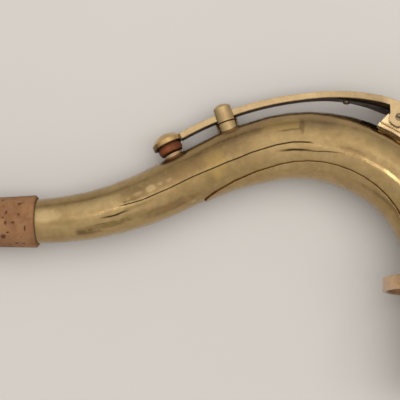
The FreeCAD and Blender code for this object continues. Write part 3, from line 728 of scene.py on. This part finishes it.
def tubeDetails(tree, vector, colour, rough):
    surface = surfaceOf("neck_tube")
    along, turn = placeOnTube(tree)
    girth = 2 * math.pi * neckLine["meanRadius"] * mm
    around = calc(tree, "MULTIPLY", turn, girth)
    share = calc(tree, "DIVIDE", along, tubeMarks["curveLength"] * mm)
    ragged = raggedEdge(tree, vector, tubeMarks["raggedScale"], 3.0, 0.65)
    places = {"Along": along, "Around": around, "Ragged": ragged}
    # tarnish and wear patches, with painted highlights and shade among them
    for kind, x, y, length, width, strength, softness in tubeMarks["patches"]:
        mask = patchMask(tree, surface, places, girth, (x, y), length, width, softness)
        mask = calc(tree, "MULTIPLY", mask, strength)
        colour = mixColour(tree, mask, colour, tint(*tubeMarks["colours"][kind]))
    # thin dark lines, partly marks in the lacquer and partly painted reflection
    dark = 0.0
    for strength, halfWidth, fade, pixels in tubeMarks["lines"]:
        hits = sorted(tubeHit(surface, spot) for spot in pixels)
        # a curve holds 0 to 1, so half a turn is added for it and taken off again
        points = [(distance / tubeMarks["curveLength"] / mm, spot + 0.5) for distance, spot in hits]
        line = calc(tree, "MULTIPLY", calc(tree, "SUBTRACT", curveNode(tree, share, points), 0.5), girth)
        values = {
            "Along": along, "Around": around, "Line": line, "Half Width": halfWidth * mm,
            "Start": hits[0][0] - fade / 2 * mm, "End": hits[-1][0] + fade / 2 * mm, "Fade": fade * mm,
        }
        mask = calc(tree, "MULTIPLY", useGroup(tree, tubeLine, **values)["Mask"], strength)
        dark = calc(tree, "MAXIMUM", dark, mask)
    colour = mixColour(tree, dark, colour, tint(*tubeMarks["colours"]["line"]))
    # the crest band: tarnish with painted shade and reflection of the key
    points = [(distance / tubeMarks["curveLength"], width) for distance, width in tubeMarks["crest"]]
    reach = curveNode(tree, share, points)
    far = calc(tree, "ABSOLUTE", calc(tree, "SUBTRACT", turn, tubeMarks["crestTurn"]))
    edge = calc(tree, "ADD", reach, calc(tree, "MULTIPLY", ragged, tubeMarks["crestRagged"]))
    crest = stepUp(tree, far, calc(tree, "SUBTRACT", edge, tubeMarks["crestEdge"]), edge, 1.0, 0.0)
    full = stepUp(tree, reach, 0.0, tubeMarks["crestFull"], 0.0, tubeMarks["crestDark"])
    crest = calc(tree, "MULTIPLY", crest, full)
    colour = mixColour(tree, crest, colour, tint(*tubeMarks["colours"]["crest"]))
    dull = calc(tree, "MAXIMUM", dark, crest)
    rough = calc(tree, "ADD", rough, calc(tree, "MULTIPLY", dull, tubeMarks["dullRoughness"]))
    first, last, most, least = tubeMarks["polish"]
    rough = calc(tree, "ADD", rough, stepUp(tree, along, first * mm, last * mm, most, least))
    return colour, rough, dull


corkLook = {
    "light": (133, 96, 62),
    "warm": (119, 83, 53),
    "cloudScale": 150.0,
    "cloudEdges": (0.35, 0.65),
    "grain": (96, 61, 37),
    "grainScale": 520.0,
    "grainEdges": (0.45, 0.75),
    "grainShare": 0.55,
    "grainHeight": 0.35,
    "meanRadius": 8.4,
    "hole": (72, 38, 20),
    "holeSoftness": 0.9,
    "holeRaggedScale": 1500.0,
    # large pores by the pixel of the photograph: pixel x and y, half length and half width in pixels
    "holes": [
        (20, 203.5, 2.4, 1.1), (18.6, 204.8, 1.2, 0.9), (6, 212.6, 1.3, 1.9), (18.6, 214.4, 1.2, 1.2),
        (5.3, 222.8, 1.5, 1.9), (12.6, 222.5, 1.4, 1.1), (24.6, 228.4, 0.9, 2.8), (7.7, 232.3, 1.7, 1.0),
        (3.5, 236.5, 2.4, 2.6), (16.8, 243, 1.7, 1.0), (23.9, 243.5, 1.3, 1.2), (22.5, 246.6, 1.5, 0.7),
        (2.5, 217.5, 1.2, 0.8),
    ],
    "poreScale": 430.0,
    "poreSize": 0.34,
    "poreShare": 0.32,
    "poreDark": 0.7,
    "dirtAndShade": (92, 62, 40),
    "dirtShadeReach": 0.0012,
    "dirtShadeAmount": 0.3,
    "roughness": (0.6, 0.82),
    "bump": 0.5,
    "bumpDepth": 0.00025,
}


def makeCork():
    look = corkLook
    material, tree, shader = newMaterial("corkSkin", Metallic=0.0, Specular_IOR_Level=0.3)
    vector = objectPlace(tree)
    grain = noiseOn(tree, vector, look["grainScale"], 4.0, 0.65)
    cloud = noiseOn(tree, vector, look["cloudScale"], 3.0, 0.5)
    colour = mixColour(tree, stepUp(tree, cloud, *look["cloudEdges"]), tint(*look["light"]), tint(*look["warm"]))
    dots = stepUp(tree, grain, *look["grainEdges"], 0.0, look["grainShare"])
    colour = mixColour(tree, dots, colour, tint(*look["grain"]))
    holes = useGroup(
        tree, pores, Vector=vector, Scale=look["poreScale"], Size=look["poreSize"], Share=look["poreShare"]
    )["Mask"]
    holes = calc(tree, "MULTIPLY", holes, look["poreDark"])
    surface = surfaceOf("mouthpiece_cork")
    along, turn = placeOnTube(tree)
    girth = 2 * math.pi * look["meanRadius"] * mm
    ragged = raggedEdge(tree, vector, look["holeRaggedScale"], 2.0, 0.55)
    places = {"Along": along, "Around": calc(tree, "MULTIPLY", turn, girth), "Ragged": ragged}
    for x, y, length, width in look["holes"]:
        mask = patchMask(tree, surface, places, girth, (x, y), length, width, look["holeSoftness"])
        holes = calc(tree, "MAXIMUM", holes, mask)
    colour = mixColour(tree, holes, colour, tint(*look["hole"]))
    # dirt and painted shade where the cork meets other pieces
    dirtAndShade = useGroup(tree, cornerDirtAndShade, Vector=vector, Reach=look["dirtShadeReach"], Amount=look["dirtShadeAmount"])["Mask"]
    colour = mixColour(tree, dirtAndShade, colour, tint(*look["dirtAndShade"]))
    height = calc(tree, "SUBTRACT", calc(tree, "MULTIPLY", grain, look["grainHeight"]), holes)
    bump = addNode(tree, "Bump", {"Height": height, "Strength": look["bump"], "Distance": look["bumpDepth"]})
    feed(tree, shader["Base Color"], colour)
    feed(tree, shader["Roughness"], stepUp(tree, grain, *noiseRange, *look["roughness"]))
    feed(tree, shader["Normal"], bump.outputs["Normal"])
    return material


leatherLook = {
    "light": (114, 60, 28),
    "dark": (84, 44, 20),
    "cloudScale": 380.0,
    "crease": (80, 42, 24),
    "creaseScale": 2600.0,
    "creaseWidth": 0.09,
    "creaseDark": 0.4,
    "dirtAndShade": (44, 24, 14),
    "dirtShadeReach": 0.0022,
    "dirtShadeAmount": 0.9,
    "roughness": (0.42, 0.6),
    "bump": 0.35,
    "bumpDepth": 0.0001,
}


def makeLeather():
    look = leatherLook
    material, tree, shader = newMaterial("padLeather", Metallic=0.0, Specular_IOR_Level=0.25)
    vector = objectPlace(tree)
    cells = addNode(
        tree, "TexVoronoi", {"Vector": vector, "Scale": look["creaseScale"]}, feature="DISTANCE_TO_EDGE"
    )
    creases = stepUp(tree, cells.outputs["Distance"], 0.0, look["creaseWidth"], 1.0, 0.0)
    cloud = noiseOn(tree, vector, look["cloudScale"], 4.0)
    colour = mixColour(tree, stepUp(tree, cloud, *noiseRange), tint(*look["light"]), tint(*look["dark"]))
    colour = mixColour(tree, calc(tree, "MULTIPLY", creases, look["creaseDark"]), colour, tint(*look["crease"]))
    # dirt and painted shade where the pad meets the cup
    dirtAndShade = useGroup(tree, cornerDirtAndShade, Vector=vector, Reach=look["dirtShadeReach"], Amount=look["dirtShadeAmount"])["Mask"]
    colour = mixColour(tree, dirtAndShade, colour, tint(*look["dirtAndShade"]))
    height = calc(tree, "SUBTRACT", cloud, creases)
    bump = addNode(tree, "Bump", {"Height": height, "Strength": look["bump"], "Distance": look["bumpDepth"]})
    feed(tree, shader["Base Color"], colour)
    feed(tree, shader["Roughness"], stepUp(tree, cloud, *noiseRange, *look["roughness"]))
    feed(tree, shader["Normal"], bump.outputs["Normal"])
    return material


steelLook = {
    "edgeRadius": 0.00012,
    "edgeGain": 3.0,
    "rubbed": (190, 180, 165),
    "rubShare": 0.5,
    "dirtAndShade": (28, 22, 18),
    "dirtShadeReach": 0.0006,
    "dirtShadeAmount": 0.6,
    "dirtDullness": 0.6,
    "cloudRoughness": (-0.06, 0.1),
    "scratchScale": 600.0,
    "scratchStretch": (1.0, 0.2, 1.0),
    "bump": 0.2,
    "bumpDepth": 0.00005,
}
springLook = {**steelLook, "light": (74, 64, 58), "dark": (38, 32, 32), "roughness": 0.34, "cloudScale": 300.0}
screwLook = {**steelLook, "light": (168, 150, 122), "dark": (104, 86, 62), "roughness": 0.36, "cloudScale": 500.0}


def makeSteel(name, look):
    material, tree, shader = newMaterial(name, Specular_IOR_Level=0.5)
    vector = objectPlace(tree)
    cloud = noiseOn(tree, vector, look["cloudScale"], 4.0, 0.6)
    colour = mixColour(tree, stepUp(tree, cloud, *noiseRange), tint(*look["light"]), tint(*look["dark"]))
    wear = useGroup(tree, edgeWear, Vector=vector, Radius=look["edgeRadius"], Gain=look["edgeGain"])
    colour = mixColour(tree, calc(tree, "MULTIPLY", wear["Mask"], look["rubShare"]), colour, tint(*look["rubbed"]))
    # dirt and painted shade where the steel meets other pieces
    dirtAndShade = useGroup(tree, cornerDirtAndShade, Vector=vector, Reach=look["dirtShadeReach"], Amount=look["dirtShadeAmount"])["Mask"]
    colour = mixColour(tree, dirtAndShade, colour, tint(*look["dirtAndShade"]))
    lines = useGroup(
        tree, hairlines, Vector=stretched(tree, vector, *look["scratchStretch"]), Scale=look["scratchScale"]
    )["Mask"]
    bumpSockets = {
        "Height": lines, "Normal": wear["Normal"], "Strength": look["bump"], "Distance": look["bumpDepth"],
    }
    bump = addNode(tree, "Bump", bumpSockets)
    least, most = (look["roughness"] + change for change in look["cloudRoughness"])
    feed(tree, shader["Base Color"], colour)
    feed(tree, shader["Roughness"], stepUp(tree, cloud, *noiseRange, least, most))
    feed(tree, shader["Metallic"], calc(tree, "SUBTRACT", 1.0, calc(tree, "MULTIPLY", dirtAndShade, look["dirtDullness"])))
    feed(tree, shader["Normal"], bump.outputs["Normal"])
    return material


padLeather = makeLeather()
finishes = [
    (makeBrass("tubeBrass", brassLook, tubeDetails), ["neck_tube"]),
    (makeBrass("braceBrass", braceLook), ["bend_brace", "tip_ring", "tenon_sleeve", "tenon_collar"]),
    (makeBrass("keyBrass", keyLook), ["lever_arm"]),
    (makeBrass("cupBrass", cupLook), ["pad_cup"]),
    (makeBrass("saddleBrass", saddleLook), ["key_saddle"]),
    (makeBrass("baseBrass", baseLook), ["saddle_base"]),
    (makeBrass("pipBrass", pipLook), ["octave_pip"]),
    (makeBrass("plinthBrass", plinthLook), ["pip_base"]),
    (makeBrass("loopBrass", loopLook), ["key_loop"]),
    (makeBrass("postBrass", postLook), ["guide_post", "guide_post_foot"]),
    (makeCork(), ["mouthpiece_cork", "bumper_cork"]),
    (padLeather, ["octave_pad"]),
    (makeSteel("bluedSteel", springLook), ["flat_spring"]),
    (makeSteel("screwSteel", screwLook), ["spring_screw", "pivot_screw"]),
]
for material, names in finishes:
    for name in names:
        nodes[name].data.materials.clear()
        nodes[name].data.materials.append(material)
print("finishes set")


def addMesh(name, points, faces, material, smooth=True):
    mesh = bpy.data.meshes.new(name)
    mesh.from_pydata(points, [], faces)
    mesh.polygons.foreach_set("use_smooth", [smooth] * len(faces))
    mesh.materials.append(material)
    piece = bpy.data.objects.new(name, mesh)
    bpy.context.scene.collection.objects.link(piece)
    return piece


# Leather pad under the cup: bulged side, rounded rim and the ring that the pip has pressed in
padShape = {
    "segments": 72,
    # shares of the pad's radius and of its height, from the middle of the face to the top
    "profileShares": [
        (0.0, 0.04), (0.2, 0.045), (0.34, 0.07), (0.44, 0.1), (0.54, 0.06), (0.68, 0.01), (0.78, 0.015),
        (0.85, 0.05), (0.9, 0.12), (0.93, 0.22), (0.94, 0.32), (0.935, 0.42), (0.915, 0.52), (0.88, 0.6),
        (0.855, 0.66), (0.85, 0.97),
    ],
    "puckers": 19,
    "puckerDepthShare": 0.008,
    # they start at this share of the radius and reach that depth this much further out
    "puckerFrom": 0.7,
    "puckerSpan": 0.2,
}


def makePad():
    centre, outward = centrePoint(neckLine["pipPlace"])
    spots = [vertex.co - centre for vertex in nodes["octave_pad"].data.vertices]
    heights = [spot.dot(outward) for spot in spots]
    radius = max((spot - outward * spot.dot(outward)).length for spot in spots)
    low, high = min(heights), max(heights)
    side = outward.cross(acrossNeck).normalized()
    segments = padShape["segments"]
    points = [centre + outward * (low + (high - low) * padShape["profileShares"][0][1])]
    for share, level in padShape["profileShares"][1:]:
        for step in range(segments):
            angle = 2 * math.pi * step / segments
            pucker = math.sin(padShape["puckers"] * angle + 2.0 * math.sin(3 * angle))
            depth = padShape["puckerDepthShare"] * max(0.0, share - padShape["puckerFrom"]) / padShape["puckerSpan"]
            reach = radius * (share + depth * pucker)
            spin = side * math.cos(angle) + acrossNeck * math.sin(angle)
            points.append(centre + outward * (low + (high - low) * level) + spin * reach)
    rings = len(padShape["profileShares"]) - 1
    faces = [(0, 1 + (step + 1) % segments, 1 + step) for step in range(segments)]
    for ring in range(rings - 1):
        for step in range(segments):
            first = 1 + ring * segments + step
            second = 1 + ring * segments + (step + 1) % segments
            faces.append((first, second, second + segments, first + segments))
    faces.append(tuple(reversed(range(1 + (rings - 1) * segments, 1 + rings * segments))))
    pad = addMesh("leatherPad", points, faces, padLeather)
    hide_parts("octave_pad")
    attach(pad, "octave_key")


makePad()
print("pad made")


# Pale table top, wide enough for every view
table = {"side": 6000.0, "light": (179, 175, 170), "dark": (175, 171, 166), "cloudScale": 14.0}


def makeTable():
    half = table["side"] / 2 * mm
    corners = [(-half, -half, 0), (half, -half, 0), (half, half, 0), (-half, half, 0)]
    material, tree, shader = newMaterial("tableTop", Metallic=0.0, Specular_IOR_Level=0.25, Roughness=0.7)
    cloud = noiseOn(tree, objectPlace(tree), table["cloudScale"], 3.0, 0.5)
    feed(tree, shader["Base Color"], mixColour(tree, cloud, tint(*table["light"]), tint(*table["dark"])))
    floor = addMesh("tableTop", corners, [(0, 1, 2, 3)], material, smooth=False)


studio = {
    # soft light from all over, stronger from above and a little behind the neck
    "dimSky": 0.5,
    "brightSky": 1.14,
    "brightLean": 20.0,
    "brightFrom": 0.15,
    # and some from low down, on this side of the neck
    "nearGlow": 0.24,
    "nearGlowEdges": (-0.6, -0.1),
    # a dark wall low down, behind the neck and to its left
    "wallWay": (-0.9, 0.43, 0.0),
    "wallEdges": (-0.1, 0.35),
    "wallShade": 0.3,
    "wallFoot": 0.06,
    "wallTop": 0.24,
    "tint": (255, 252, 248),
    "backdrop": (210, 206, 199),
    # name, middle, way of its length, size, power in watts, whether it shows in reflections; in millimetres
    "lamps": [
        # a long narrow lamp, high above the bend
        ("stripLamp", (-152, 8, 900), (1, 1), (146, 34), 0.105, True),
        # two fainter ones: behind the bend, and to the right of the post
        ("backLamp", (90, 500, 900), (1, 0), (380, 260), 0.05, True),
        ("sideLamp", (740, 60, 900), (0, 1), (500, 260), 1.5, True),
        # a wide soft one that lights the table and the cork
        ("softLamp", (5, 250, 1000), (1, 0), (1150, 1150), 9.1, False),
    ],
}


def makeLamp(name, middle, way, size, power, glossy):
    lamp = bpy.data.lights.new(name, "AREA")
    lamp.shape = "RECTANGLE"
    lamp.size, lamp.size_y = (side * mm for side in size)
    lamp.energy = power
    light = bpy.data.objects.new(name, lamp)
    light.location = Vector(middle) * mm
    light.rotation_euler = (0, 0, math.atan2(way[1], way[0]))
    light.visible_glossy = glossy
    bpy.context.scene.collection.objects.link(light)


def makeWorld():
    world = bpy.data.worlds.new("studio")
    world.use_nodes = True
    bpy.context.scene.world = world
    tree = world.node_tree
    way = addNode(tree, "TexCoord").outputs["Generated"]
    lean = math.radians(studio["brightLean"])
    match = addNode(tree, "VectorMath", {"Vector": way}, operation="DOT_PRODUCT")
    match.inputs[1].default_value = (0, math.sin(lean), math.cos(lean))
    above = calc(tree, "SUBTRACT", match.outputs["Value"], studio["brightFrom"])
    near = calc(tree, "DIVIDE", above, 1.0 - studio["brightFrom"], clamp=True)
    span = studio["brightSky"] - studio["dimSky"]
    sky = calc(tree, "ADD", studio["dimSky"], calc(tree, "MULTIPLY", calc(tree, "POWER", near, 2.0), span))
    split = addNode(tree, "SeparateXYZ", {"Vector": way}).outputs
    sky = calc(tree, "ADD", sky, stepUp(tree, split["Y"], *studio["nearGlowEdges"], studio["nearGlow"], 0.0))
    side = addNode(tree, "VectorMath", {"Vector": way}, operation="DOT_PRODUCT")
    side.inputs[1].default_value = studio["wallWay"]
    wall = stepUp(tree, side.outputs["Value"], *studio["wallEdges"])
    low = stepUp(tree, split["Z"], studio["wallFoot"], studio["wallTop"], 1.0 - studio["wallShade"], 0.0)
    sky = calc(tree, "MULTIPLY", sky, calc(tree, "SUBTRACT", 1.0, calc(tree, "MULTIPLY", wall, low)))
    light = addNode(tree, "VectorMath", operation="SCALE")
    light.inputs[0].default_value = tint(*studio["tint"])[:3]
    tree.links.new(sky, light.inputs["Scale"])
    seen = addNode(tree, "LightPath").outputs["Is Camera Ray"]
    colour = mixColour(tree, seen, light.outputs["Vector"], tint(*studio["backdrop"]))
    feed(tree, tree.nodes["Background"].inputs["Color"], colour)


def makeCamera():
    lens = bpy.data.cameras.new("camera")
    lens.sensor_width = cameraView["sensor"]
    lens.lens = cameraView["focalPixels"] / cameraView["pictureSide"] * cameraView["sensor"]
    lens.clip_start = 0.01
    camera = bpy.data.objects.new("camera", lens)
    camera.location = cameraPoint
    bpy.context.scene.collection.objects.link(camera)
    bpy.context.scene.camera = camera


makeTable()
makeWorld()
for lamp in studio["lamps"]:
    makeLamp(*lamp)
makeCamera()
bpy.context.scene.view_settings.view_transform = "Standard"
print("studio ready")
